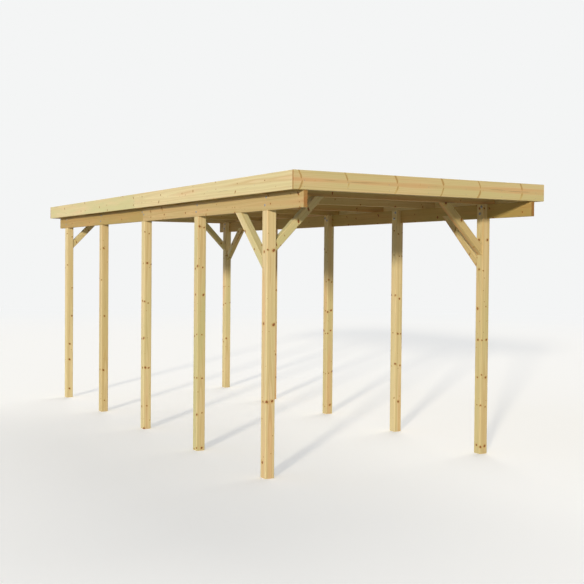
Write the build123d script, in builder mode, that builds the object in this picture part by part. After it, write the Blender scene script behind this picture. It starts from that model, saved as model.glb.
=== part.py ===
from build123d import *
import os

# Flat-roofed open carport for one long vehicle, a frame of treated softwood.
# Two rows of five posts carry a lengthwise purlin each, let into the post heads.
# Rafters cross from purlin to purlin and carry ribbed roof sheets, and a fascia
# board runs round all four sides.
# Millimetres, +Z up, +Y from the entrance to the rear, origin at ground level
# under the middle of the roof.

# Driving dimensions: plan
POST_SIDE = 115
BAY_WIDTH = 3000
POST_PITCH = 1760
POSTS_PER_ROW = 5
FRONT_REACH = 770
REAR_REACH = 425
SIDE_REACH = 135

# Driving dimensions: heights
ENTRANCE_HEIGHT = 2970
PURLIN_HEIGHT = 180
RAFTER_HEIGHT = 120
FASCIA_HEIGHT = 200

# Driving dimensions: sections of the timbers
PURLIN_THICK = 45
RAFTER_THICK = 60
FASCIA_THICK = 28
BRACE_SIDE = 90

# Reach of the head braces along the timber that they carry
FRONT_BRACE_REACH = 640
REAR_BRACE_REACH = 530

# Height to which the head of a lengthwise brace laps the side of its purlin
BRACE_LAP = 60

# Purlin ends, past the outer faces of the end posts
PURLIN_FRONT_REACH = 750
PURLIN_REAR_REACH = 275

# Rafters between the two that stand over the end posts
MIDDLE_RAFTERS = 5

# Roof sheets, ribbed front to back, each lapped over the rib of the one before
SHEETS = 4
SHEET_THICK = 2
SHEET_END_GAP = 15
RIBS_PER_SHEET = 6
RIB_PITCH = 140
RIB_HEIGHT = 20
RIB_TOP = 30
RIB_BASE = 70
LAP_GAP = 0.5
LAP_LIP = 3.5

# Planed edges: posts and braces are rounded, beams and boards eased
POST_EDGE = 8
BEAM_EDGE = 4
BOARD_EDGE = 2

# Places worked out from the driving dimensions
ROW_X = (BAY_WIDTH + POST_SIDE) / 2
OUTER_X = ROW_X + POST_SIDE / 2
ROOF_WIDTH = 2 * (OUTER_X + SIDE_REACH)
ROW_LENGTH = POST_PITCH * (POSTS_PER_ROW - 1) + POST_SIDE
ROOF_LENGTH = FRONT_REACH + ROW_LENGTH + REAR_REACH
ROOF_FRONT_Y = -ROOF_LENGTH / 2
ROOF_REAR_Y = ROOF_LENGTH / 2
FRONT_POST_Y = ROOF_FRONT_Y + FRONT_REACH + POST_SIDE / 2
REAR_POST_Y = FRONT_POST_Y + POST_PITCH * (POSTS_PER_ROW - 1)
MIDDLE_POST_Y = (FRONT_POST_Y + REAR_POST_Y) / 2
PURLIN_TOP = ENTRANCE_HEIGHT + PURLIN_HEIGHT
RAFTER_TOP = PURLIN_TOP + RAFTER_HEIGHT
INNER_WIDTH = ROOF_WIDTH - 2 * FASCIA_THICK
INNER_LENGTH = ROOF_LENGTH - 2 * FASCIA_THICK
SIDES = {"left": -1, "right": 1}

os.makedirs("parts", exist_ok=True)


def save(piece, name):
    piece.part.label = name
    export_step(piece.part, f"parts/{name}.step")


def post(x, y):
    with BuildPart() as piece:
        with BuildSketch():
            with Locations((x, y)):
                Rectangle(POST_SIDE, POST_SIDE)
        extrude(amount=PURLIN_TOP)
        fillet(piece.edges().filter_by(Axis.Z), POST_EDGE)
    return piece


def seat_purlin(timber, side):
    """Cuts the head of a post or brace back on the outer side, so that the purlin stands on it."""
    with BuildPart() as piece:
        add(timber.part)
        with BuildSketch(Plane.XY.offset(ENTRANCE_HEIGHT)):
            with Locations((side * (OUTER_X - PURLIN_THICK / 2), 0)):
                Rectangle(PURLIN_THICK, ROOF_LENGTH)
        extrude(amount=PURLIN_HEIGHT, mode=Mode.SUBTRACT)
    return piece


def beam_along_y(x, y_start, y_end, z_low, thick, height, edge):
    """A timber that runs front to back, standing on its narrow face."""
    with BuildPart() as piece:
        with BuildSketch(Plane.XZ.offset(-y_start)):
            with Locations((x, z_low + height / 2)):
                outline = Rectangle(thick, height)
            chamfer(outline.vertices(), edge)
        extrude(amount=-(y_end - y_start))
    return piece


def beam_along_x(y, half_length, z_low, thick, height, edge):
    """A timber that runs from side to side, standing on its narrow face."""
    with BuildPart() as piece:
        with BuildSketch(Plane.YZ):
            with Locations((y, z_low + height / 2)):
                outline = Rectangle(thick, height)
            chamfer(outline.vertices(), edge)
        extrude(amount=half_length, both=True)
    return piece


def brace(plane, start, direction, z_top, reach):
    """A head brace at 45 degrees, cut upright at the post and level at the top.

    The plane is the upright one through the middle of the brace, start is
    the place of the post's face in it and direction is the way it leans.
    """
    end_cut = BRACE_SIDE * 2 ** 0.5
    foot = z_top - reach
    corners = [
        (start, foot),
        (start + direction * reach, z_top),
        (start + direction * (reach - end_cut), z_top),
        (start, foot + end_cut),
    ]
    with BuildPart() as piece:
        with BuildSketch(plane):
            with BuildLine():
                Polyline(*corners, close=True)
            make_face()
        extrude(amount=BRACE_SIDE / 2, both=True)
        slanting = piece.edges().filter_by(GeomType.LINE).sort_by(SortBy.LENGTH)[-4:]
        fillet(slanting, POST_EDGE)
    return piece


# Posts, numbered from the entrance to the rear
for side_name, side in SIDES.items():
    for number in range(POSTS_PER_ROW):
        post_y = FRONT_POST_Y + number * POST_PITCH
        save(seat_purlin(post(side * ROW_X, post_y), side), f"post_{side_name}_{number + 1}")

# Purlins, two lengths a side that meet over the middle post
purlin_front_y = FRONT_POST_Y - POST_SIDE / 2 - PURLIN_FRONT_REACH
purlin_rear_y = REAR_POST_Y + POST_SIDE / 2 + PURLIN_REAR_REACH
purlin_lengths = {
    "front": (purlin_front_y, MIDDLE_POST_Y),
    "rear": (MIDDLE_POST_Y, purlin_rear_y),
}
for side_name, side in SIDES.items():
    purlin_x = side * (OUTER_X - PURLIN_THICK / 2)
    for end_name, (y_start, y_end) in purlin_lengths.items():
        purlin = beam_along_y(
            purlin_x, y_start, y_end, ENTRANCE_HEIGHT, PURLIN_THICK, PURLIN_HEIGHT, BEAM_EDGE
        )
        save(purlin, f"purlin_{side_name}_{end_name}")

# Head braces on the corner posts: crosswise ones under the rafters, and lengthwise
# ones under the purlins. The rear left post has no lengthwise one.
corner_rows = {
    "front": (FRONT_POST_Y, 1, FRONT_BRACE_REACH),
    "rear": (REAR_POST_Y, -1, REAR_BRACE_REACH),
}
unbraced = ("left", "rear")
for side_name, side in SIDES.items():
    for end_name, (corner_y, inward, reach) in corner_rows.items():
        cross_plane = Plane.XZ.offset(-corner_y)
        cross_face = side * (ROW_X - POST_SIDE / 2)
        cross_brace = brace(cross_plane, cross_face, -side, PURLIN_TOP, reach)
        save(cross_brace, f"brace_{end_name}_{side_name}_crosswise")
        if (side_name, end_name) != unbraced:
            row_plane = Plane.YZ.offset(side * (OUTER_X - BRACE_SIDE / 2))
            row_face = corner_y + inward * POST_SIDE / 2
            row_top = ENTRANCE_HEIGHT + BRACE_LAP
            row_brace = brace(row_plane, row_face, inward, row_top, reach + BRACE_LAP)
            save(seat_purlin(row_brace, side), f"brace_{end_name}_{side_name}_lengthwise")

# Rafters: one behind each end fascia, and an even row from end post to end post
edge_rafter_y = ROOF_REAR_Y - FASCIA_THICK - RAFTER_THICK / 2
rafter_places = {"rafter_front_edge": -edge_rafter_y, "rafter_rear_edge": edge_rafter_y}
rafter_pitch = (REAR_POST_Y - FRONT_POST_Y) / (MIDDLE_RAFTERS + 1)
for number in range(MIDDLE_RAFTERS + 2):
    rafter_places[f"rafter_{number + 1}"] = FRONT_POST_Y + number * rafter_pitch
for name, rafter_y in rafter_places.items():
    rafter = beam_along_x(
        rafter_y, INNER_WIDTH / 2, PURLIN_TOP, RAFTER_THICK, RAFTER_HEIGHT, BEAM_EDGE
    )
    save(rafter, name)

# Fascia boards: the end boards cover the ends of the side boards
fascia_x = ROOF_WIDTH / 2 - FASCIA_THICK / 2
fascia_y = ROOF_LENGTH / 2 - FASCIA_THICK / 2
for name, board_y in (("fascia_front", -fascia_y), ("fascia_rear", fascia_y)):
    board = beam_along_x(
        board_y, ROOF_WIDTH / 2, PURLIN_TOP, FASCIA_THICK, FASCIA_HEIGHT, BOARD_EDGE
    )
    save(board, name)
side_lengths = {
    "front": (-INNER_LENGTH / 2, MIDDLE_POST_Y),
    "rear": (MIDDLE_POST_Y, INNER_LENGTH / 2),
}
for side_name, side in SIDES.items():
    for end_name, (y_start, y_end) in side_lengths.items():
        board = beam_along_y(
            side * fascia_x, y_start, y_end, PURLIN_TOP, FASCIA_THICK, FASCIA_HEIGHT, BOARD_EDGE
        )
        save(board, f"fascia_{side_name}_{end_name}")

# Roof sheets: the first rib is larger, so that it fits over its neighbour's last rib
lap = SHEET_THICK + LAP_GAP
lap_base = RIB_BASE / 2 + lap * 2 ** 0.5
lap_height = RIB_HEIGHT + lap
lap_top = lap_base - lap_height
sheet_line = [
    (LAP_LIP - lap_base, LAP_LIP),
    (-lap_top, lap_height),
    (lap_top, lap_height),
    (lap_base, 0),
]
for number in range(1, RIBS_PER_SHEET + 1):
    middle = number * RIB_PITCH
    sheet_line.append((middle - RIB_BASE / 2, 0))
    sheet_line.append((middle - RIB_TOP / 2, RIB_HEIGHT))
    sheet_line.append((middle + RIB_TOP / 2, RIB_HEIGHT))
    if number < RIBS_PER_SHEET:
        sheet_line.append((middle + RIB_BASE / 2, 0))
sheet_line.append((middle + RIB_BASE / 2 - LAP_LIP, LAP_LIP))
sheet_width = RIBS_PER_SHEET * RIB_PITCH
sheet_half_length = INNER_LENGTH / 2 - SHEET_END_GAP
for number in range(SHEETS):
    first_rib_x = (number - SHEETS / 2) * sheet_width
    with BuildPart() as sheet:
        with BuildSketch(Plane.XZ):
            with BuildLine(Plane.XZ):
                Polyline(*[(first_rib_x + u, RAFTER_TOP + v) for u, v in sheet_line])
                offset(amount=SHEET_THICK, side=Side.LEFT, kind=Kind.INTERSECTION)
            make_face()
        extrude(amount=sheet_half_length, both=True)
    save(sheet, f"roof_sheet_{number + 1}")
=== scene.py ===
import math
import random

import bmesh
import bpy
from mathutils import Matrix, Vector


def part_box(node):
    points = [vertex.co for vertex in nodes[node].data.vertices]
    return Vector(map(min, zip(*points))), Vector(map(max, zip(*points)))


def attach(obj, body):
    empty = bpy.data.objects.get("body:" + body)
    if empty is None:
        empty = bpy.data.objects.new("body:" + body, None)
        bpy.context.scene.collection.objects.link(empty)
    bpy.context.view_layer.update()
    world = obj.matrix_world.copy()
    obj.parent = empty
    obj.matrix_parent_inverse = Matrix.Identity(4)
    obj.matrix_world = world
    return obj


# An open timber carport: the finish of its treated spruce frame and aluminium roof
# sheets, with the coach bolts, screws and washers that hold it together. Metres.

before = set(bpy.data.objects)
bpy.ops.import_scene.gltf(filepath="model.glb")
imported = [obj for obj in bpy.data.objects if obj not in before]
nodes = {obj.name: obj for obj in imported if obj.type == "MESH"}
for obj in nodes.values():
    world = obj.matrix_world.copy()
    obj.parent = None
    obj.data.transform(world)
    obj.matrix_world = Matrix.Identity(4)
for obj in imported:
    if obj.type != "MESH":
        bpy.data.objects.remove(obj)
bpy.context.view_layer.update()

# Places of the frame's own timbers
ROOF_LOW, ROOF_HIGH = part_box("fascia_front")
POST_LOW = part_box("post_right_1")[0]
PURLIN_LOW, PURLIN_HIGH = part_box("purlin_right_front")
RAFTER_LOW, RAFTER_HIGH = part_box("rafter_1")
POST_NUMBERS = range(1, 6)
MIDDLE_POST = 3
RAFTERS = ["rafter_front_edge"] + [f"rafter_{n}" for n in range(1, 8)] + ["rafter_rear_edge"]
MIDDLE_RAFTER = "rafter_4"
SHEETS = [f"roof_sheet_{n}" for n in range(1, 5)]
SIDES = {"left": -1, "right": 1}

# Coach bolts, M12. A place is how far behind the post's middle and above the purlin's underside
BOLT_HEAD_RADIUS = 0.015
BOLT_HEAD_HEIGHT = 0.0068
BOLT_RADIUS = 0.006
THREAD_REACH = 0.018
THREAD_TIP = 0.0012
NUT_WIDTH = 0.019
NUT_HEIGHT = 0.010
WASHER_RADIUS = 0.0185
WASHER_THICK = 0.0025
POST_BOLTS = ((0.0, 0.060), (-0.028, 0.145))
MIDDLE_POST_BOLTS = ((-0.0275, 0.094), (0.0275, 0.130))

# Countersunk screws
SCREW_RADIUS = 0.0045
SCREW_PROUD = 0.0003
SCREW_RECESS = 0.0006
SCREW_SEAT = 0.003
FASCIA_SCREW_STEP = 0.54
FASCIA_SCREW_STEPS = range(-3, 4)
FASCIA_SCREW_PARTS_UP = (0.25, 0.8)
BUTT_SCREW_ASIDE = 0.016
BRACE_SCREW_ASIDE = 0.021
BRACE_SCREW_IN = 0.075
LAP_SCREWS_IN = (0.045, 0.085)
LAP_SCREW_DOWN = 0.030

# Roofing screws and the ribs that they stand on
ROOF_SCREW_WIDTH = 0.008
ROOF_SCREW_HEIGHT = 0.005
ROOF_SCREW_UP = 0.001
RUBBER_RADIUS = 0.0085
RUBBER_THICK = 0.0025
DISH_RISE = 0.0016
DISH_LIP = 0.0004
RIB_PITCH = 0.14
RIBS_ACROSS = 25
RIBS_PER_SHEET = 6
LAP_RISE = 0.0025

# Meshes of the fittings
MERGE_DISTANCE = 0.00001
SHARP_ANGLE = math.radians(35)

# Camera, fitted to the photograph
IMAGE_SIDE = 584
CAMERA_PLACE = Vector((-6.837, -12.542, 2.401))
CAMERA_YAW = math.radians(-28.51)
CAMERA_PITCH = math.radians(-1.27)
CAMERA_ROLL = math.radians(0.44)
FOCAL_PIXELS = 955.9
AXIS_PIXEL = (246.2, 283.1)

# Studio. A lamp is its power, its spread in degrees, its colour and the way from the carport to it
FLOOR_HALF_SIDE = 60.0
FLOOR_FADE = (14.0, 34.0)
FLOOR_PALE = "#F2F2F0"
FLOOR_WARM = "#AFA077"
SURROUND_PALE = "#F4F5F5"
SURROUND_SOFT = "#F0F4FA"
LAMPS = {
    "key": (2.95, 4, "#FFF3DD", (-1.0, -0.92, 0.25)),
    "fill": (0.75, 70, "#C6D9FF", (-1.0, 0.35, 0.25)),
    "back": (2.2, 60, "#FFFBF4", (1.0, 0.9, 0.6)),
}


def linear(code):
    """Linear colour of an sRGB hex code."""
    channels = [int(code[i:i + 2], 16) / 255 for i in (1, 3, 5)]
    low = [c / 12.92 if c <= 0.04045 else ((c + 0.055) / 1.055) ** 2.4 for c in channels]
    return (*low, 1.0)


def add(tree, kind, inputs=None, **settings):
    """Adds a node, with its settings, and with values or links on its inputs."""
    node = tree.nodes.new(kind)
    for name, value in settings.items():
        setattr(node, name, value)
    for socket, value in (inputs or {}).items():
        if isinstance(value, bpy.types.Node):
            value = value.outputs[0]
        if isinstance(value, bpy.types.NodeSocket):
            tree.links.new(value, node.inputs[socket])
        else:
            node.inputs[socket].default_value = value
    return node


def new_material(name):
    """A material with an empty node tree."""
    material = bpy.data.materials.new(name)
    material.use_nodes = True
    tree = material.node_tree
    tree.nodes.clear()
    return material, tree


# Growth of a spruce trunk, from which every timber is sawn
RING_WIDTH = 0.0042
BAND_WIDTH = 0.017
FIBRE_WIDTH = 0.004
FIBRE_LENGTH = 0.2
TRUNK_WANDER = 0.017
TRUNK_TAPER = 0.006
WANDERS_PER_METRE = (9.0, 9.0, 0.8)
STREAKS_PER_METRE = (26.0, 26.0, 0.7)
CLOUDS_PER_METRE = (7.0, 7.0, 0.9)
BRANCHES = 6.0
BRANCH_SLOPE = 0.05
BRANCH_CURVE = 3.6
BRANCH_SWAY = 0.016
SWAYS_PER_METRE = 18.0
BRANCHES_APART = 0.04
KNOT_PER_DISTANCE = 0.25
LEAST_KNOT = 0.0008
KNOT_EDGES_PER_METRE = 110.0
KNOT_SWELL = 1.4
HALO_REACH = 2.5
PIN_SPACING = 0.19
PIN_BRANCHES = 4.0
PIN_SHARE = 0.4
PIN_UNEVEN = 0.6
LARGEST_PIN = 0.0045
HEART_BLUR = 0.014
CHECKS_ROUND = 3
CHECK_WIDTH = 0.0022
CHECK_LENGTH = 0.45
CHECK_EDGE = 0.0005
CHECK_WEAVES_PER_METRE = 2.5
CHECK_SECTOR_STEP = 7.3

# How strongly each shows in the colour and the relief of the wood
RING_PART = 0.4
BAND_PART = 0.45
FIBRE_PART = 0.22
RESIN_PART = 0.25
HALO_PART = 0.5
CHECK_PART = 0.75
END_PART = 0.72
KNOT_RELIEF = 0.5
CHECK_RELIEF = -3.0
GRAIN_DEPTH = 0.0006

# Colours of the wood
SAPWOOD_PALE = "#ECDFB6"
SAPWOOD_RING = "#D2BC88"
HEARTWOOD_PALE = "#EACCA2"
HEARTWOOD_RING = "#D3A876"
GREEN_SALT = "#CFCF9C"
RESIN_STREAK = "#D9A674"
WARM_TAN = "#CBAE7A"
KNOT_MIDDLE = "#9A5B33"
KNOT_RIM = "#572D18"
KNOT_HALO = "#C4A04E"
END_GRAIN = "#C49C6A"
CHECK_DARK = "#6A5334"

# Colours of the metals and the rubber
ALUMINIUM_DULL = "#A3A6A8"
ALUMINIUM_BRIGHT = "#BCBFC1"
ZINC_DULL = "#8A8986"
ZINC_BRIGHT = "#ABAAA6"
RUBBER_BLACK = "#232323"
RUBBER_DUSTY = "#3A3A38"


def new_group(name, vectors, numbers, colors, results):
    """An empty node group with its sockets, and what it is given."""
    group = bpy.data.node_groups.new(name, "ShaderNodeTree")
    face = group.interface
    for socket in vectors:
        face.new_socket(socket, in_out="INPUT", socket_type="NodeSocketVector")
    for socket in numbers:
        face.new_socket(socket, in_out="INPUT", socket_type="NodeSocketFloat")
    for socket in colors:
        face.new_socket(socket, in_out="OUTPUT", socket_type="NodeSocketColor")
    for socket in results:
        face.new_socket(socket, in_out="OUTPUT", socket_type="NodeSocketFloat")
    return group, group.nodes.new("NodeGroupInput").outputs


def trunk_branches():
    """Whorls of branches round the pith of a trunk, seen as knots in what is sawn from it.

    Position is in metres with the pith along Z. Spacing is from whorl to whorl, Count is
    the branches in a whorl, Share is the part of them that grew, Largest is the radius
    of the thickest, and Uneven is how far chance moves them.
    """
    numbers = ["Spacing", "Count", "Share", "Largest", "Uneven", "Seed"]
    group, given = new_group("trunk_branches", ["Position"], numbers, [], ["Knot", "Rim", "Halo", "Bend"])
    split = add(group, "ShaderNodeSeparateXYZ", {0: given["Position"]})
    x, y, z = split.outputs
    flat = add(group, "ShaderNodeCombineXYZ", {0: x, 1: y})
    radius = add(group, "ShaderNodeVectorMath", {0: flat}, operation="LENGTH").outputs["Value"]

    # The nearest whorl
    steps = add(group, "ShaderNodeMath", {0: z, 1: given["Spacing"]}, operation="DIVIDE")
    seeded = add(group, "ShaderNodeMath", {0: steps, 1: given["Seed"]}, operation="ADD")
    whorl = add(group, "ShaderNodeMath", {0: seeded}, operation="FLOOR")
    whorl_noise = add(group, "ShaderNodeTexWhiteNoise", {"W": whorl}, noise_dimensions="1D")
    chance = add(group, "ShaderNodeSeparateColor", {0: whorl_noise.outputs["Color"]})
    within = add(group, "ShaderNodeMath", {0: seeded, 1: whorl}, operation="SUBTRACT")
    moved = add(group, "ShaderNodeMath", {0: chance.outputs["Red"], 1: 0.5}, operation="SUBTRACT")
    middle = add(group, "ShaderNodeMath", {0: moved, 1: given["Uneven"], 2: 0.5}, operation="MULTIPLY_ADD")
    off_whorl = add(group, "ShaderNodeMath", {0: within, 1: middle}, operation="SUBTRACT")

    # The nearest branch of the whorl
    angle = add(group, "ShaderNodeMath", {0: y, 1: x}, operation="ARCTAN2")
    part_turn = add(group, "ShaderNodeMath", {0: angle, 1: 1 / math.tau}, operation="MULTIPLY")
    freedom = add(group, "ShaderNodeMath", {0: given["Uneven"], 1: 3.0}, operation="POWER")
    twist = add(group, "ShaderNodeMath", {0: chance.outputs["Green"], 1: freedom}, operation="MULTIPLY")
    twisted = add(group, "ShaderNodeMath", {0: part_turn, 1: twist}, operation="ADD")
    sectors = add(
        group, "ShaderNodeMath", {0: twisted, 1: given["Count"], 2: 0.5}, operation="MULTIPLY_ADD"
    )
    sector = add(group, "ShaderNodeMath", {0: sectors}, operation="FLOOR")
    branch = add(group, "ShaderNodeMath", {0: sector, 1: given["Count"]}, operation="FLOORED_MODULO")
    key = add(group, "ShaderNodeCombineXYZ", {0: whorl, 1: branch, 2: given["Seed"]})
    branch_noise = add(group, "ShaderNodeTexWhiteNoise", {"Vector": key}, noise_dimensions="3D")
    luck = add(group, "ShaderNodeSeparateColor", {0: branch_noise.outputs["Color"]})
    within_turn = add(group, "ShaderNodeMath", {0: sectors, 1: sector}, operation="SUBTRACT")
    lean = add(group, "ShaderNodeMath", {0: luck.outputs["Red"], 1: 0.4, 2: -0.2}, operation="MULTIPLY_ADD")
    aside = add(group, "ShaderNodeMath", {0: lean, 1: given["Uneven"], 2: 0.5}, operation="MULTIPLY_ADD")
    off_turn = add(group, "ShaderNodeMath", {0: within_turn, 1: aside}, operation="SUBTRACT")
    circle = add(group, "ShaderNodeMath", {0: radius, 1: math.tau}, operation="MULTIPLY")
    sector_width = add(group, "ShaderNodeMath", {0: circle, 1: given["Count"]}, operation="DIVIDE")
    arc = add(group, "ShaderNodeMath", {0: off_turn, 1: sector_width}, operation="MULTIPLY")

    # Branches climb outwards, and those of one whorl leave the trunk a little apart
    rise = add(group, "ShaderNodeMath", {0: off_whorl, 1: given["Spacing"]}, operation="MULTIPLY")
    apart = add(
        group, "ShaderNodeMath", {0: luck.outputs["Green"], 1: 2 * BRANCHES_APART, 2: -BRANCHES_APART},
        operation="MULTIPLY_ADD",
    )
    apart_part = add(group, "ShaderNodeMath", {0: apart, 1: given["Uneven"]}, operation="MULTIPLY")
    slope = add(
        group, "ShaderNodeMath", {0: radius, 1: -BRANCH_CURVE, 2: -BRANCH_SLOPE}, operation="MULTIPLY_ADD"
    )
    climb = add(group, "ShaderNodeMath", {0: radius, 1: slope, 2: apart_part}, operation="MULTIPLY_ADD")
    sway = add(
        group, "ShaderNodeTexNoise", {"Vector": given["Position"], "Scale": SWAYS_PER_METRE, "Detail": 1.0}
    )
    swayed = add(group, "ShaderNodeMath", {0: sway, 1: BRANCH_SWAY, 2: climb}, operation="MULTIPLY_ADD")
    level = add(group, "ShaderNodeMath", {0: rise, 1: swayed}, operation="ADD")
    away = add(group, "ShaderNodeCombineXYZ", {0: arc, 1: level})
    from_knot = add(group, "ShaderNodeVectorMath", {0: away}, operation="LENGTH").outputs["Value"]
    rugged = add(
        group, "ShaderNodeTexNoise",
        {"Vector": given["Position"], "Scale": KNOT_EDGES_PER_METRE, "Detail": 1.0},
    )
    ragged = add(group, "ShaderNodeMath", {0: rugged, 1: 0.5, 2: 0.75}, operation="MULTIPLY_ADD")
    outline = add(group, "ShaderNodeMath", {0: from_knot, 1: ragged}, operation="MULTIPLY")

    # Its thickness: none where no branch grew, and thin close to the pith
    rank = add(group, "ShaderNodeMath", {0: luck.outputs["Blue"], 1: given["Share"]}, operation="DIVIDE")
    grew = add(group, "ShaderNodeMath", {0: rank, 1: 1.0}, operation="LESS_THAN")
    vigour = add(group, "ShaderNodeMath", {0: rank, 1: -0.55, 2: 1.0}, operation="MULTIPLY_ADD")
    wished = add(group, "ShaderNodeMath", {0: vigour, 1: given["Largest"]}, operation="MULTIPLY")
    thin = add(group, "ShaderNodeMath", {0: radius, 1: KNOT_PER_DISTANCE}, operation="MULTIPLY")
    least = add(group, "ShaderNodeMath", {0: wished, 1: thin}, operation="MINIMUM")
    knot_radius = add(group, "ShaderNodeMath", {0: least, 1: LEAST_KNOT}, operation="MAXIMUM")
    ratio = add(group, "ShaderNodeMath", {0: outline, 1: knot_radius}, operation="DIVIDE")
    body = add(
        group, "ShaderNodeMapRange",
        {"Value": ratio, "From Min": 1.08, "From Max": 0.9}, interpolation_type="SMOOTHSTEP",
    )
    edge = add(
        group, "ShaderNodeMapRange",
        {"Value": ratio, "From Min": 0.4, "From Max": 0.95}, interpolation_type="SMOOTHSTEP",
    )
    around = add(
        group, "ShaderNodeMapRange",
        {"Value": ratio, "From Min": HALO_REACH, "From Max": 0.9}, interpolation_type="SMOOTHSTEP",
    )
    knot = add(group, "ShaderNodeMath", {0: body, 1: grew}, operation="MULTIPLY")
    rim = add(group, "ShaderNodeMath", {0: edge, 1: knot}, operation="MULTIPLY")
    halo = add(group, "ShaderNodeMath", {0: around, 1: grew}, operation="MULTIPLY")
    bend = add(group, "ShaderNodeMath", {0: halo, 1: knot_radius}, operation="MULTIPLY")
    add(group, "NodeGroupOutput", {"Knot": knot, "Rim": rim, "Halo": halo, "Bend": bend})
    return group


BRANCHING = trunk_branches()


def spruce_growth():
    """The inside of a spruce trunk: rings round its pith, heartwood, branches and drying checks.

    Position is in metres with the pith along Z. The faces of a timber cut through
    the rings, so its sides show long figure and its ends show arcs.
    """
    numbers = ["Tone", "Green", "Heart", "Spacing", "Share", "Uneven", "Largest", "Dark", "Seed"]
    group, given = new_group(
        "spruce_growth", ["Position", "Grain"], numbers, ["Color"], ["Roughness", "Height"]
    )
    position = given["Position"]
    split = add(group, "ShaderNodeSeparateXYZ", {0: position})
    x, y, z = split.outputs

    # Branches in whorls, and pin knots between them
    whorls = add(
        group, "ShaderNodeGroup",
        {"Position": position, "Spacing": given["Spacing"], "Count": BRANCHES, "Share": given["Share"],
         "Largest": given["Largest"], "Uneven": given["Uneven"], "Seed": given["Seed"]},
        node_tree=BRANCHING,
    )
    pins = add(
        group, "ShaderNodeGroup",
        {"Position": position, "Spacing": PIN_SPACING, "Count": PIN_BRANCHES, "Share": PIN_SHARE,
         "Largest": LARGEST_PIN, "Uneven": PIN_UNEVEN, "Seed": given["Seed"]},
        node_tree=BRANCHING,
    )
    knot, rim, halo = [
        add(group, "ShaderNodeMath", {0: whorls.outputs[mark], 1: pins.outputs[mark]}, operation="MAXIMUM")
        for mark in ("Knot", "Rim", "Halo")
    ]
    bend = add(
        group, "ShaderNodeMath", {0: whorls.outputs["Bend"], 1: pins.outputs["Bend"]}, operation="ADD"
    )

    # Distance from the pith, with the wander and taper of a real trunk, and a swell round each knot
    flat = add(group, "ShaderNodeCombineXYZ", {0: x, 1: y})
    radius = add(group, "ShaderNodeVectorMath", {0: flat}, operation="LENGTH").outputs["Value"]
    slow = add(group, "ShaderNodeVectorMath", {0: position, 1: WANDERS_PER_METRE}, operation="MULTIPLY")
    wander = add(group, "ShaderNodeTexNoise", {"Vector": slow, "Scale": 1.0, "Detail": 2.0})
    drift = add(
        group, "ShaderNodeMath", {0: wander, 1: 2 * TRUNK_WANDER, 2: -TRUNK_WANDER},
        operation="MULTIPLY_ADD",
    )
    taper = add(group, "ShaderNodeMath", {0: z, 1: TRUNK_TAPER, 2: drift}, operation="MULTIPLY_ADD")
    straight = add(group, "ShaderNodeMath", {0: radius, 1: taper}, operation="ADD")
    ring_place = add(
        group, "ShaderNodeMath", {0: bend, 1: -KNOT_SWELL, 2: straight}, operation="MULTIPLY_ADD"
    )

    # Fine rings, bands of good and poor years, and fibre
    fine_place = add(group, "ShaderNodeMath", {0: ring_place, 1: 1 / RING_WIDTH}, operation="MULTIPLY")
    fine = add(
        group, "ShaderNodeTexNoise", {"W": fine_place, "Scale": 1.0, "Detail": 0.0}, noise_dimensions="1D"
    )
    band_place = add(
        group, "ShaderNodeMath", {0: ring_place, 1: 1 / BAND_WIDTH, 2: given["Seed"]},
        operation="MULTIPLY_ADD",
    )
    band = add(
        group, "ShaderNodeTexNoise", {"W": band_place, "Scale": 1.0, "Detail": 1.0}, noise_dimensions="1D"
    )
    fibre_scale = (1 / FIBRE_WIDTH, 1 / FIBRE_WIDTH, 1 / FIBRE_LENGTH)
    fibre_place = add(group, "ShaderNodeVectorMath", {0: position, 1: fibre_scale}, operation="MULTIPLY")
    fibre = add(group, "ShaderNodeTexNoise", {"Vector": fibre_place, "Scale": 1.0, "Detail": 2.0})
    fine_dark = add(group, "ShaderNodeMapRange", {"Value": fine, "From Min": 0.42, "From Max": 0.68})
    band_dark = add(group, "ShaderNodeMapRange", {"Value": band, "From Min": 0.35, "From Max": 0.72})
    fibre_dark = add(group, "ShaderNodeMapRange", {"Value": fibre, "From Min": 0.35, "From Max": 0.75})
    rings = add(group, "ShaderNodeMath", {0: fine_dark, 1: RING_PART}, operation="MULTIPLY")
    banded = add(group, "ShaderNodeMath", {0: band_dark, 1: BAND_PART, 2: rings}, operation="MULTIPLY_ADD")
    figure = add(
        group, "ShaderNodeMath", {0: fibre_dark, 1: FIBRE_PART, 2: banded},
        operation="MULTIPLY_ADD", use_clamp=True,
    )

    # Pale sapwood outside, warm heartwood in the middle of the trunk
    heart_depth = add(group, "ShaderNodeMath", {0: given["Heart"], 1: ring_place}, operation="SUBTRACT")
    heart = add(
        group, "ShaderNodeMapRange",
        {"Value": heart_depth, "From Min": -HEART_BLUR, "From Max": HEART_BLUR},
        interpolation_type="SMOOTHSTEP",
    )
    sap = add(
        group, "ShaderNodeMix", {0: figure, "A": linear(SAPWOOD_PALE), "B": linear(SAPWOOD_RING)},
        data_type="RGBA",
    )
    core = add(
        group, "ShaderNodeMix", {0: figure, "A": linear(HEARTWOOD_PALE), "B": linear(HEARTWOOD_RING)},
        data_type="RGBA",
    )
    wood = add(
        group, "ShaderNodeMix", {0: heart, "A": sap.outputs["Result"], "B": core.outputs["Result"]},
        data_type="RGBA",
    )

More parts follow.
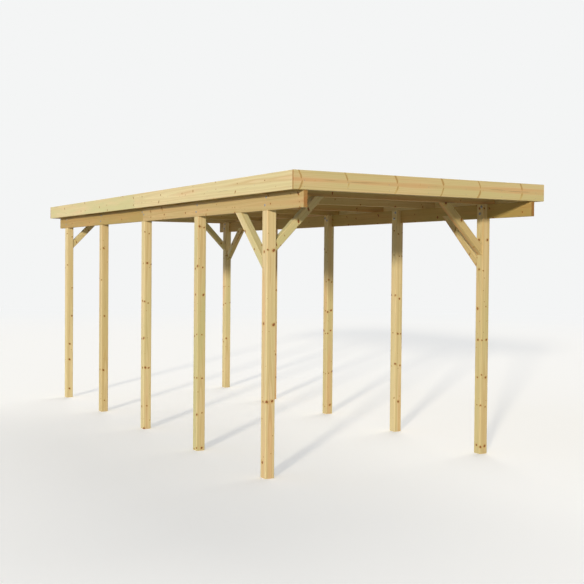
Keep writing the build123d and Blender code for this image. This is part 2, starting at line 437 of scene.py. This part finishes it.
    # Streaks of resin, and the copper salt of the treatment, which takes unevenly in long clouds
    streak_place = add(
        group, "ShaderNodeVectorMath", {0: position, 1: STREAKS_PER_METRE}, operation="MULTIPLY"
    )
    streak = add(group, "ShaderNodeTexNoise", {"Vector": streak_place, "Scale": 1.0, "Detail": 2.0})
    streak_part = add(
        group, "ShaderNodeMapRange",
        {"Value": streak, "From Min": 0.55, "From Max": 0.72, "To Max": RESIN_PART},
    )
    streaked = add(
        group, "ShaderNodeMix", {0: streak_part, "A": wood.outputs["Result"], "B": linear(RESIN_STREAK)},
        data_type="RGBA",
    )
    cloud_place = add(
        group, "ShaderNodeVectorMath", {0: position, 1: CLOUDS_PER_METRE}, operation="MULTIPLY"
    )
    cloud = add(group, "ShaderNodeTexNoise", {"Vector": cloud_place, "Scale": 1.0, "Detail": 3.0})
    cloud_part = add(group, "ShaderNodeMapRange", {"Value": cloud, "From Min": 0.36, "From Max": 0.64})
    green_part = add(group, "ShaderNodeMath", {0: cloud_part, 1: given["Green"]}, operation="MULTIPLY")
    salted = add(
        group, "ShaderNodeMix", {0: green_part, "A": streaked.outputs["Result"], "B": linear(GREEN_SALT)},
        data_type="RGBA",
    )
    toned = add(
        group, "ShaderNodeMix", {0: given["Tone"], "A": salted.outputs["Result"], "B": linear(WARM_TAN)},
        data_type="RGBA", blend_type="MULTIPLY",
    )

    # Knots: red-brown, with a darker rim and a yellow halo
    halo_part = add(group, "ShaderNodeMath", {0: halo, 1: HALO_PART}, operation="MULTIPLY")
    haloed = add(
        group, "ShaderNodeMix", {0: halo_part, "A": toned.outputs["Result"], "B": linear(KNOT_HALO)},
        data_type="RGBA",
    )
    knot_color = add(
        group, "ShaderNodeMix", {0: rim, "A": linear(KNOT_MIDDLE), "B": linear(KNOT_RIM)}, data_type="RGBA"
    )
    knot_part = add(group, "ShaderNodeMath", {0: knot, 1: given["Dark"]}, operation="MULTIPLY")
    knotted = add(
        group, "ShaderNodeMix",
        {0: knot_part, "A": haloed.outputs["Result"], "B": knot_color.outputs["Result"]}, data_type="RGBA",
    )

    # Drying checks: fine cracks that run outwards from the pith and along the grain
    angle = add(group, "ShaderNodeMath", {0: y, 1: x}, operation="ARCTAN2")
    check_turn = add(
        group, "ShaderNodeMath", {0: angle, 1: CHECKS_ROUND / math.tau, 2: given["Seed"]},
        operation="MULTIPLY_ADD",
    )
    check_sector = add(group, "ShaderNodeMath", {0: check_turn}, operation="FLOOR")
    in_sector = add(group, "ShaderNodeMath", {0: check_turn, 1: check_sector}, operation="SUBTRACT")
    weave_place = add(
        group, "ShaderNodeMath", {0: z, 1: CHECK_WEAVES_PER_METRE, 2: given["Seed"]},
        operation="MULTIPLY_ADD",
    )
    weave = add(
        group, "ShaderNodeTexNoise", {"W": weave_place, "Scale": 1.0, "Detail": 3.0}, noise_dimensions="1D"
    )
    check_middle = add(group, "ShaderNodeMath", {0: weave, 1: 0.2, 2: 0.4}, operation="MULTIPLY_ADD")
    check_off = add(group, "ShaderNodeMath", {0: in_sector, 1: check_middle}, operation="SUBTRACT")
    check_arc = add(group, "ShaderNodeMath", {0: check_off, 1: radius}, operation="MULTIPLY")
    check_gap = add(
        group, "ShaderNodeMath", {0: check_arc, 1: math.tau / CHECKS_ROUND}, operation="MULTIPLY"
    )
    check_away = add(group, "ShaderNodeMath", {0: check_gap}, operation="ABSOLUTE")
    along = add(group, "ShaderNodeMath", {0: z, 1: 1 / CHECK_LENGTH}, operation="MULTIPLY")
    check_place = add(
        group, "ShaderNodeMath", {0: check_sector, 1: CHECK_SECTOR_STEP, 2: along},
        operation="MULTIPLY_ADD",
    )
    opening = add(
        group, "ShaderNodeTexNoise", {"W": check_place, "Scale": 1.0, "Detail": 0.0}, noise_dimensions="1D"
    )
    half_width = add(
        group, "ShaderNodeMapRange",
        {"Value": opening, "From Min": 0.56, "From Max": 0.74, "To Max": CHECK_WIDTH / 2},
    )
    check_depth = add(group, "ShaderNodeMath", {0: half_width, 1: check_away}, operation="SUBTRACT")
    check = add(
        group, "ShaderNodeMapRange", {"Value": check_depth, "From Min": 0.0, "From Max": CHECK_EDGE}
    )
    check_part = add(group, "ShaderNodeMath", {0: check, 1: CHECK_PART}, operation="MULTIPLY")
    checked = add(
        group, "ShaderNodeMix", {0: check_part, "A": knotted.outputs["Result"], "B": linear(CHECK_DARK)},
        data_type="RGBA",
    )

    # Sawn ends drink more of the treatment and look darker
    facing = add(group, "ShaderNodeTexCoord").outputs["Normal"]
    end_on = add(group, "ShaderNodeVectorMath", {0: facing, 1: given["Grain"]}, operation="DOT_PRODUCT")
    square_on = add(group, "ShaderNodeMath", {0: end_on.outputs["Value"]}, operation="ABSOLUTE")
    end = add(
        group, "ShaderNodeMapRange",
        {"Value": square_on, "From Min": 0.5, "From Max": 0.95, "To Max": END_PART},
        interpolation_type="SMOOTHSTEP",
    )
    ended = add(
        group, "ShaderNodeMix", {0: end, "A": checked.outputs["Result"], "B": linear(END_GRAIN)},
        data_type="RGBA", blend_type="MULTIPLY",
    )

    roughness = add(group, "ShaderNodeMath", {0: figure, 1: -0.12, 2: 0.68}, operation="MULTIPLY_ADD")
    ridge = add(group, "ShaderNodeMath", {0: knot, 1: KNOT_RELIEF, 2: figure}, operation="MULTIPLY_ADD")
    height = add(group, "ShaderNodeMath", {0: check, 1: CHECK_RELIEF, 2: ridge}, operation="MULTIPLY_ADD")
    add(
        group, "NodeGroupOutput",
        {"Color": ended.outputs["Result"], "Roughness": roughness, "Height": height},
    )
    return group


GROWTH = spruce_growth()


def spruce(name, middle, cut):
    """Planed spruce, pressure treated: pale and slightly green, satin, its grain along the timber."""
    material, tree = new_material(f"treated_spruce_{name}")
    turn = cut["grain"].rotation_difference(Vector((0, 0, 1)))
    coordinates = add(tree, "ShaderNodeTexCoord")
    in_trunk = add(
        tree, "ShaderNodeMapping",
        {"Vector": coordinates.outputs["Object"], "Location": -(turn @ (middle + cut["pith"])),
         "Rotation": turn.to_euler()},
    )
    growth = add(
        tree, "ShaderNodeGroup",
        {"Position": in_trunk, "Grain": cut["grain"], "Tone": cut["tone"], "Green": cut["green"],
         "Heart": cut["heart"], "Spacing": cut["spacing"], "Share": cut["share"],
         "Uneven": cut["uneven"], "Largest": cut["largest"], "Dark": cut["dark"], "Seed": cut["seed"]},
        node_tree=GROWTH,
    )
    bump = add(
        tree, "ShaderNodeBump",
        {"Height": growth.outputs["Height"], "Strength": 0.35, "Distance": GRAIN_DEPTH},
    )
    surface = add(
        tree, "ShaderNodeBsdfPrincipled",
        {"Base Color": growth.outputs["Color"], "Roughness": growth.outputs["Roughness"], "Normal": bump,
         "IOR": 1.5, "Specular IOR Level": 0.35},
    )
    add(tree, "ShaderNodeOutputMaterial", {"Surface": surface})
    return material


def dress(name, material):
    """Gives a node of the frame its finish."""
    slots = nodes[name].data.materials
    slots.clear()
    slots.append(material)


# Where in its trunk each kind of timber is sawn, as ranges that chance picks from
SAWN = {
    "post": {"pith": 0.016, "tone": (0.10, 0.30), "green": (0.2, 0.6), "heart": (0.036, 0.056),
             "spacing": (0.42, 0.55), "largest": 0.014},
    "purlin": {"pith": 0.050, "tone": (0.45, 0.65), "green": (0.2, 0.50), "heart": (0.030, 0.060),
               "spacing": (0.55, 0.75), "largest": 0.013},
    # Rafters take a darker tone than the other timbers: their own chance tone, plus painted shade for their
    # place under the roof
    "rafter": {"pith": 0.050, "tone": (0.55, 0.90), "green": (0.4, 0.75), "heart": (0.020, 0.045),
               "spacing": (0.45, 0.60), "largest": 0.013},
    "brace": {"pith": 0.045, "tone": (0.10, 0.30), "green": (0.4, 0.85), "heart": (0.015, 0.035),
              "spacing": (0.28, 0.36), "largest": 0.016},
    "fascia": {"pith": 0.060, "tone": (0.05, 0.20), "green": (0.25, 0.50), "heart": (0.040, 0.060),
               "spacing": (0.50, 0.60), "largest": 0.011},
}

# Timbers that the photograph shows closely. Whorl is where one whorl lies from the timber's middle
KNOWN = {
    "fascia_front": {"grain": (-1, 0, 0), "pith": (0, -0.012, 0.004), "whorl": -0.14, "spacing": 0.605,
                     "share": 1.2, "uneven": 0.3, "largest": 0.0105, "dark": 0.42, "heart": 0.026,
                     "tone": 0.23, "green": 0.6},
    "fascia_left_front": {"pith": (0.055, 0, 0.02), "tone": 0.02, "green": 0.35, "heart": 0.064},
    "fascia_left_rear": {"pith": (0.060, 0, -0.03), "tone": 0.08, "green": 0.8, "heart": 0.056},
    "purlin_left_front": {"tone": 0.55, "green": 0.35},
    "purlin_left_rear": {"tone": 0.85, "green": 0.7},
    "purlin_right_front": {"tone": 0.85, "green": 0.8, "spacing": 0.42, "share": 1.0, "largest": 0.016},
    "purlin_right_rear": {"tone": 0.80, "green": 0.5},
    "brace_front_right_crosswise": {"tone": 0.45, "green": 0.3},
    "brace_front_right_lengthwise": {"tone": 0.40, "green": 0.3},
    "rafter_front_edge": {"tone": 0.60, "green": 0.9, "heart": 0.010},
    "post_left_1": {"pith": (-0.004, 0.006, 0), "whorl": 0.145, "spacing": 0.79, "uneven": 0.3,
                    "largest": 0.018, "heart": 0.058, "tone": 0.04, "green": 0.25},
    "post_left_2": {"pith": (-0.006, 0.004, 0), "whorl": -0.595, "spacing": 0.46, "uneven": 0.4,
                    "largest": 0.015, "heart": 0.030, "tone": 0.20, "green": 0.8},
    "post_left_3": {"pith": (-0.012, -0.004, 0), "whorl": -0.705, "spacing": 0.49, "uneven": 0.5,
                    "largest": 0.016, "heart": 0.040, "tone": 0.10, "green": 0.4},
    "post_left_5": {"pith": (0.030, 0.030, 0), "tone": 0.05, "green": 0.2, "heart": 0.020},
    "post_right_1": {"pith": (-0.004, 0.000, 0), "whorl": -0.615, "spacing": 0.44, "uneven": 0.4,
                     "largest": 0.015, "heart": 0.030, "tone": 0.30, "green": 0.5},
}
SLOPE = math.sqrt(0.5)
BRACE_GRAIN = {
    "left_crosswise": Vector((SLOPE, 0, SLOPE)),
    "right_crosswise": Vector((-SLOPE, 0, SLOPE)),
    "front_lengthwise": Vector((0, SLOPE, SLOPE)),
    "rear_lengthwise": Vector((0, -SLOPE, SLOPE)),
}


def grain_of(name, size):
    """Way that a timber's grain runs: up the slope of a brace, and along the longest side of any other."""
    if name.startswith("brace"):
        end, side, way = name.split("_")[1:]
        return BRACE_GRAIN[f"{side}_{way}" if way == "crosswise" else f"{end}_{way}"]
    longest = max(range(3), key=lambda i: size[i])
    return Vector([1.0 if i == longest else 0.0 for i in range(3)])


def sawn_cut(name, size):
    """How a timber lies in its trunk: by chance for its kind, or as the photograph shows."""
    sawn = SAWN[name.split("_")[0]]
    known = KNOWN.get(name, {})
    chance = random.Random(name)
    grain = Vector(known["grain"]) if "grain" in known else grain_of(name, size)
    pith = Vector((0, 0, 0))

    # The pith lies off to the sides, never along the grain
    for i in range(3):
        if abs(grain[i]) < 0.5:
            pith[i] = chance.choice((-1, 1)) * sawn["pith"] * chance.uniform(0.5, 1.2)
    cut = {
        "grain": grain,
        "pith": pith,
        "tone": chance.uniform(*sawn["tone"]),
        "green": chance.uniform(*sawn["green"]),
        "heart": chance.uniform(*sawn["heart"]),
        "spacing": chance.uniform(*sawn["spacing"]),
        "share": 0.75,
        "dark": 1.0,
        "uneven": 0.7,
        "largest": sawn["largest"],
    }
    cut.update(known)
    cut["grain"] = grain
    cut["pith"] = Vector(cut["pith"])
    cut["seed"] = chance.uniform(0, 50)
    if "whorl" in known:
        cut["seed"] = chance.randrange(50) + 0.5 - known["whorl"] / cut["spacing"]
    return cut


for timber in sorted(nodes):
    if timber.split("_")[0] in SAWN:
        timber_low, timber_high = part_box(timber)
        timber_cut = sawn_cut(timber, timber_high - timber_low)
        dress(timber, spruce(timber, (timber_low + timber_high) / 2, timber_cut))


def mill_aluminium():
    """Rolled aluminium sheet, mill finish: a bright grey with faint rolling lines along the ribs."""
    material, tree = new_material("mill_finish_aluminium")
    coordinates = add(tree, "ShaderNodeTexCoord")
    lines = add(
        tree, "ShaderNodeMapping", {"Vector": coordinates.outputs["Object"], "Scale": (400.0, 1.5, 400.0)}
    )
    rolled = add(tree, "ShaderNodeTexNoise", {"Vector": lines, "Scale": 1.0, "Detail": 2.0})
    clouds = add(
        tree, "ShaderNodeTexNoise", {"Vector": coordinates.outputs["Object"], "Scale": 3.0, "Detail": 3.0}
    )
    mixed = add(tree, "ShaderNodeMath", {0: rolled, 1: clouds}, operation="MULTIPLY")
    part = add(tree, "ShaderNodeMapRange", {"Value": mixed, "From Min": 0.12, "From Max": 0.42})
    color = add(
        tree, "ShaderNodeMix", {0: part, "A": linear(ALUMINIUM_DULL), "B": linear(ALUMINIUM_BRIGHT)},
        data_type="RGBA",
    )
    rough = add(
        tree, "ShaderNodeMapRange",
        {"Value": clouds, "From Min": 0.3, "From Max": 0.7, "To Min": 0.46, "To Max": 0.60},
    )
    bump = add(tree, "ShaderNodeBump", {"Height": rolled, "Strength": 0.15, "Distance": 0.0003})
    surface = add(
        tree, "ShaderNodeBsdfPrincipled",
        {"Base Color": color.outputs["Result"], "Metallic": 1.0, "Roughness": rough, "Normal": bump},
    )
    add(tree, "ShaderNodeOutputMaterial", {"Surface": surface})
    return material


def zinc_plated_steel():
    """Zinc-plated steel: a cool bright grey, a little cloudy, that dulls outdoors."""
    material, tree = new_material("zinc_plated_steel")
    coordinates = add(tree, "ShaderNodeTexCoord")
    clouds = add(
        tree, "ShaderNodeTexNoise", {"Vector": coordinates.outputs["Object"], "Scale": 180.0, "Detail": 3.0}
    )
    color = add(
        tree, "ShaderNodeMix", {0: clouds, "A": linear(ZINC_DULL), "B": linear(ZINC_BRIGHT)},
        data_type="RGBA",
    )
    rough = add(
        tree, "ShaderNodeMapRange",
        {"Value": clouds, "From Min": 0.3, "From Max": 0.7, "To Min": 0.42, "To Max": 0.6},
    )
    surface = add(
        tree, "ShaderNodeBsdfPrincipled",
        {"Base Color": color.outputs["Result"], "Metallic": 1.0, "Roughness": rough},
    )
    add(tree, "ShaderNodeOutputMaterial", {"Surface": surface})
    return material


def black_rubber():
    """EPDM rubber of the sealing washers: near black and dull."""
    material, tree = new_material("epdm_rubber")
    coordinates = add(tree, "ShaderNodeTexCoord")
    dust = add(
        tree, "ShaderNodeTexNoise", {"Vector": coordinates.outputs["Object"], "Scale": 250.0, "Detail": 2.0}
    )
    color = add(
        tree, "ShaderNodeMix", {0: dust, "A": linear(RUBBER_BLACK), "B": linear(RUBBER_DUSTY)},
        data_type="RGBA",
    )
    surface = add(
        tree, "ShaderNodeBsdfPrincipled", {"Base Color": color.outputs["Result"], "Roughness": 0.85}
    )
    add(tree, "ShaderNodeOutputMaterial", {"Surface": surface})
    return material


ALUMINIUM = mill_aluminium()
ZINC = zinc_plated_steel()
RUBBER = black_rubber()
for sheet_name in SHEETS:
    dress(sheet_name, ALUMINIUM)


def placed(point, outward):
    """Matrix that stands a fitting made along +Z on a point, facing outward."""
    turn = Vector((0, 0, 1)).rotation_difference(outward).to_matrix().to_4x4()
    return Matrix.Translation(point) @ turn


def turned(profile, steps=12):
    """A closed round part, spun from a profile of (radius, height) points."""
    bm = bmesh.new()
    rim = [bm.verts.new((radius, 0, height)) for radius, height in profile]
    edges = [bm.edges.new(pair) for pair in zip(rim, rim[1:])]
    bmesh.ops.spin(
        bm, geom=rim + edges, cent=(0, 0, 0), axis=(0, 0, 1), angle=math.tau, steps=steps, use_merge=True
    )
    bmesh.ops.remove_doubles(bm, verts=bm.verts, dist=MERGE_DISTANCE)
    bmesh.ops.recalc_face_normals(bm, faces=bm.faces)
    return bm


def hexagon(width, height, base):
    """A six-sided nut or screw head that stands on base, with its upper edge eased."""
    bm = bmesh.new()
    radius = width / math.sqrt(3)
    bmesh.ops.create_cone(
        bm, segments=6, radius1=radius, radius2=radius, depth=height, cap_ends=True,
        matrix=Matrix.Translation((0, 0, base + height / 2)),
    )
    upper = [e for e in bm.edges if min(v.co.z for v in e.verts) > base + height / 2]
    bmesh.ops.bevel(
        bm, geom=upper, offset=0.1 * width, affect="EDGES", segments=1, profile=0.5, material=-1
    )
    return bm


def spread(parts, places):
    """One bmesh with a copy of the parts of a fitting at each place."""
    joined = bmesh.new()
    fitting = bpy.data.meshes.new("fitting")
    for part in parts:
        part.to_mesh(fitting)
        part.free()
        joined.from_mesh(fitting)
    joined.to_mesh(fitting)
    joined.free()
    whole = bmesh.new()
    for place in places:
        before = len(whole.verts)
        whole.from_mesh(fitting)
        whole.verts.ensure_lookup_table()
        bmesh.ops.transform(whole, matrix=place, verts=whole.verts[before:])
    bpy.data.meshes.remove(fitting)
    return whole


def piece(name, bm, material):
    """Turns a bmesh into a finished piece of the carport, with its sharp edges kept sharp."""
    mesh = bpy.data.meshes.new(name)
    bm.to_mesh(mesh)
    bm.free()
    made = bpy.data.objects.new(name, mesh)
    bpy.context.collection.objects.link(made)
    mesh.materials.append(material)
    mesh.shade_smooth()
    mesh.set_sharp_from_angle(angle=SHARP_ANGLE)
    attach(made, "root")


DOME = [(0.0, BOLT_HEAD_HEIGHT), (0.5 * BOLT_HEAD_RADIUS, 0.92 * BOLT_HEAD_HEIGHT),
        (0.85 * BOLT_HEAD_RADIUS, 0.6 * BOLT_HEAD_HEIGHT), (BOLT_HEAD_RADIUS, 0.15 * BOLT_HEAD_HEIGHT),
        (BOLT_HEAD_RADIUS, 0.0), (0.0, 0.0)]
WASHER = [(0.0, WASHER_THICK), (0.94 * WASHER_RADIUS, WASHER_THICK), (WASHER_RADIUS, 0.8 * WASHER_THICK),
          (WASHER_RADIUS, 0.0), (0.0, 0.0)]
THREAD_END = [(0.0, THREAD_REACH), (0.8 * BOLT_RADIUS, THREAD_REACH),
              (BOLT_RADIUS, THREAD_REACH - THREAD_TIP), (BOLT_RADIUS, 0.0), (0.0, 0.0)]


def coach_bolts():
    """Two coach bolts through each post head: domed heads outside, washer, nut and thread end inside.

    Of the two on a middle post, each length of purlin has one.
    """
    outer = []
    inner = []
    for side_name, side in SIDES.items():
        for number in POST_NUMBERS:
            low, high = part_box(f"post_{side_name}_{number}")
            bolts = MIDDLE_POST_BOLTS if number == MIDDLE_POST else POST_BOLTS
            for back, up in bolts:
                bolt_y = (low.y + high.y) / 2 + back
                bolt_z = PURLIN_LOW.z + up
                inward = Vector((-side, 0, 0))
                outer.append(placed(Vector((side * PURLIN_HIGH.x, bolt_y, bolt_z)), -inward))
                inner.append(placed(Vector((side * POST_LOW.x, bolt_y, bolt_z)), inward))
    inner_parts = [turned(WASHER), hexagon(NUT_WIDTH, NUT_HEIGHT, WASHER_THICK), turned(THREAD_END)]
    piece("coach_bolt_heads", spread([turned(DOME)], outer), ZINC)
    piece("coach_bolt_nuts", spread(inner_parts, inner), ZINC)


SUNK_HEAD = [(0.0, -SCREW_RECESS), (0.4 * SCREW_RADIUS, -SCREW_RECESS),
             (0.55 * SCREW_RADIUS, SCREW_PROUD), (0.95 * SCREW_RADIUS, SCREW_PROUD),
             (SCREW_RADIUS, 0.0), (0.5 * SCREW_RADIUS, -SCREW_SEAT), (0.0, -SCREW_SEAT)]


def fascia_screws():
    """Pairs of countersunk screws through the fascia boards into the rafters behind them."""
    places = []
    rafter_height = RAFTER_HIGH.z - RAFTER_LOW.z
    heights = [RAFTER_LOW.z + part * rafter_height for part in FASCIA_SCREW_PARTS_UP]
    for rafter in RAFTERS:
        low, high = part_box(rafter)
        middle_y = (low.y + high.y) / 2
        rows = (-BUTT_SCREW_ASIDE, BUTT_SCREW_ASIDE) if rafter == MIDDLE_RAFTER else (0.0,)
        for side in SIDES.values():
            outward = Vector((side, 0, 0))
            for row in rows:
                for z in heights:
                    places.append(placed(Vector((side * ROOF_HIGH.x, middle_y + row, z)), outward))
    for step in FASCIA_SCREW_STEPS:
        for z in heights:
            for end in (-1, 1):
                point = Vector((FASCIA_SCREW_STEP * step, -end * ROOF_LOW.y, z))
                places.append(placed(point, Vector((0, end, 0))))
    piece("fascia_screws", spread([turned(SUNK_HEAD, steps=10)], places), ZINC)


def brace_screws():
    """Countersunk screws, two abreast, at the ends of each brace.

    The head of a lengthwise brace laps the side of its purlin and is screwed to it from inside.
    """
    places = []
    for name in sorted(nodes):
        if not name.startswith("brace"):
            continue
        low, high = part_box(name)
        grain = grain_of(name, high - low)
        level = Vector((grain.x, grain.y, 0)).normalized()
        across = Vector((0, 0, 1)).cross(level)
        middle = (low + high) / 2
        below = (level - Vector((0, 0, 1))).normalized()
        foot = middle - level * (high.z - low.z) / 2
        foot.z = low.z
        ends = [BRACE_SCREW_IN]
        if name.endswith("crosswise"):
            ends.append((high.z - low.z) / SLOPE - BRACE_SCREW_IN)
        else:
            inner = Vector((-1 if middle.x > 0 else 1, 0, 0))
            for back in LAP_SCREWS_IN:
                head = foot + level * (high.z - low.z - back)
                head.x = low.x if middle.x > 0 else high.x
                head.z = high.z - LAP_SCREW_DOWN
                places.append(placed(head, inner))
        for reach in ends:
            for aside in (-BRACE_SCREW_ASIDE, BRACE_SCREW_ASIDE):
                places.append(placed(foot + grain * reach + across * aside, below))
    piece("brace_screws", spread([turned(SUNK_HEAD, steps=10)], places), ZINC)


def roof_screws():
    """Hexagon roofing screws on the rib crests over each rafter, on dished washers with rubber below."""
    lapped_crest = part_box(SHEETS[0])[1].z
    places = []
    for rafter in RAFTERS:
        rafter_low, rafter_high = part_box(rafter)
        y = (rafter_low.y + rafter_high.y) / 2
        for number in range(RIBS_ACROSS):
            lapped = number % RIBS_PER_SHEET == 0 and number < RIBS_ACROSS - 1
            crest = lapped_crest if lapped else lapped_crest - LAP_RISE
            x = (number - (RIBS_ACROSS - 1) / 2) * RIB_PITCH
            places.append(placed(Vector((x, y, crest)), Vector((0, 0, 1))))
    pad = [(0.0, RUBBER_THICK), (0.9 * RUBBER_RADIUS, RUBBER_THICK), (RUBBER_RADIUS, 0.5 * RUBBER_THICK),
           (0.95 * RUBBER_RADIUS, 0.0), (0.0, 0.0)]
    rim = 0.96 * RUBBER_RADIUS
    dish = [(0.0, RUBBER_THICK + DISH_RISE), (0.5 * RUBBER_RADIUS, RUBBER_THICK + DISH_RISE),
            (rim, RUBBER_THICK + DISH_LIP), (rim, RUBBER_THICK - DISH_LIP), (0.0, RUBBER_THICK - DISH_LIP)]
    head = hexagon(ROOF_SCREW_WIDTH, ROOF_SCREW_HEIGHT, RUBBER_THICK + ROOF_SCREW_UP)
    piece("roof_screws", spread([turned(dish, steps=10), head], places), ZINC)
    piece("roof_screw_washers", spread([turned(pad, steps=10)], places), RUBBER)


coach_bolts()
fascia_screws()
brace_screws()
roof_screws()


def seen_directly(tree):
    """1 for what the camera sees, straight or mirrored, and 0 for what only lights something else."""
    path = add(tree, "ShaderNodeLightPath")
    return add(
        tree, "ShaderNodeMath", {0: path.outputs["Is Camera Ray"], 1: path.outputs["Is Glossy Ray"]},
        operation="MAXIMUM",
    )


def studio_floor():
    """A plain floor: pale to the eye, and a warm mid tone for the light that it throws back up."""
    bm = bmesh.new()
    bmesh.ops.create_grid(bm, x_segments=1, y_segments=1, size=FLOOR_HALF_SIDE)
    mesh = bpy.data.meshes.new("studio_floor")
    bm.to_mesh(mesh)
    bm.free()
    floor = bpy.data.objects.new("studio_floor", mesh)
    bpy.context.collection.objects.link(floor)
    material, tree = new_material("pale_studio_floor")
    direct = seen_directly(tree)
    shaded = add(tree, "ShaderNodeBsdfDiffuse", {"Color": linear(FLOOR_PALE)})
    lifted = add(tree, "ShaderNodeEmission", {"Color": linear(FLOOR_PALE), "Strength": 0.30})
    pale = add(tree, "ShaderNodeAddShader", {0: shaded, 1: lifted})
    warm = add(tree, "ShaderNodeBsdfDiffuse", {"Color": linear(FLOOR_WARM)})
    near = add(tree, "ShaderNodeMixShader", {0: direct, 1: warm, 2: pale})
    coordinates = add(tree, "ShaderNodeTexCoord")
    far = add(tree, "ShaderNodeVectorMath", {0: coordinates.outputs["Object"]}, operation="LENGTH")
    fade_start, fade_end = FLOOR_FADE
    fade = add(
        tree, "ShaderNodeMapRange",
        {"Value": far.outputs["Value"], "From Min": fade_start, "From Max": fade_end},
        interpolation_type="SMOOTHSTEP",
    )
    backdrop = add(tree, "ShaderNodeEmission", {"Color": linear(SURROUND_PALE), "Strength": 1.0})
    fade_seen = add(tree, "ShaderNodeMath", {0: fade, 1: direct}, operation="MULTIPLY")
    whole = add(tree, "ShaderNodeMixShader", {0: fade_seen, 1: near, 2: backdrop})
    add(tree, "ShaderNodeOutputMaterial", {"Surface": whole})
    mesh.materials.append(material)


def studio_light():
    """A warm low key from the front left, as in the photograph, and broad soft lights left and behind."""
    for name, (power, spread_degrees, color, way) in LAMPS.items():
        lamp = bpy.data.lights.new(name, "SUN")
        lamp.energy = power
        lamp.angle = math.radians(spread_degrees)
        lamp.color = linear(color)[:3]
        made = bpy.data.objects.new(name, lamp)
        made.rotation_euler = Vector(way).to_track_quat("Z", "Y").to_euler()
        bpy.context.collection.objects.link(made)


def studio_surround():
    """A pale surround to the eye, that gives a little cool light from all round."""
    world = bpy.data.worlds.new("surround")
    bpy.context.scene.world = world
    world.use_nodes = True
    tree = world.node_tree
    tree.nodes.clear()
    soft = add(tree, "ShaderNodeBackground", {"Color": linear(SURROUND_SOFT), "Strength": 0.29})
    pale = add(tree, "ShaderNodeBackground", {"Color": linear(SURROUND_PALE), "Strength": 1.0})
    both = add(tree, "ShaderNodeMixShader", {0: seen_directly(tree), 1: soft, 2: pale})
    add(tree, "ShaderNodeOutputWorld", {"Surface": both})


def camera():
    """The photograph's camera. Yaw turns it left from +Y, pitch tips it up, roll lifts its right side."""
    ahead = Vector((
        -math.sin(CAMERA_YAW) * math.cos(CAMERA_PITCH), math.cos(CAMERA_YAW) * math.cos(CAMERA_PITCH),
        math.sin(CAMERA_PITCH),
    ))
    level_right = ahead.cross(Vector((0, 0, 1))).normalized()
    level_up = level_right.cross(ahead)
    right = level_right * math.cos(CAMERA_ROLL) + level_up * math.sin(CAMERA_ROLL)
    up = level_up * math.cos(CAMERA_ROLL) - level_right * math.sin(CAMERA_ROLL)
    lens = bpy.data.cameras.new("camera")
    lens.sensor_width = 36.0
    lens.lens = FOCAL_PIXELS / IMAGE_SIDE * lens.sensor_width
    lens.shift_x = (IMAGE_SIDE / 2 - AXIS_PIXEL[0]) / IMAGE_SIDE
    lens.shift_y = (AXIS_PIXEL[1] - IMAGE_SIDE / 2) / IMAGE_SIDE
    lens.clip_end = 500.0
    seen = bpy.data.objects.new("camera", lens)
    turn = Matrix((right, up, -ahead)).transposed()
    seen.matrix_world = Matrix.Translation(CAMERA_PLACE) @ turn.to_4x4()
    bpy.context.collection.objects.link(seen)
    bpy.context.scene.camera = seen


studio_floor()
studio_light()
studio_surround()
camera()
bpy.context.scene.view_settings.view_transform = "Standard"
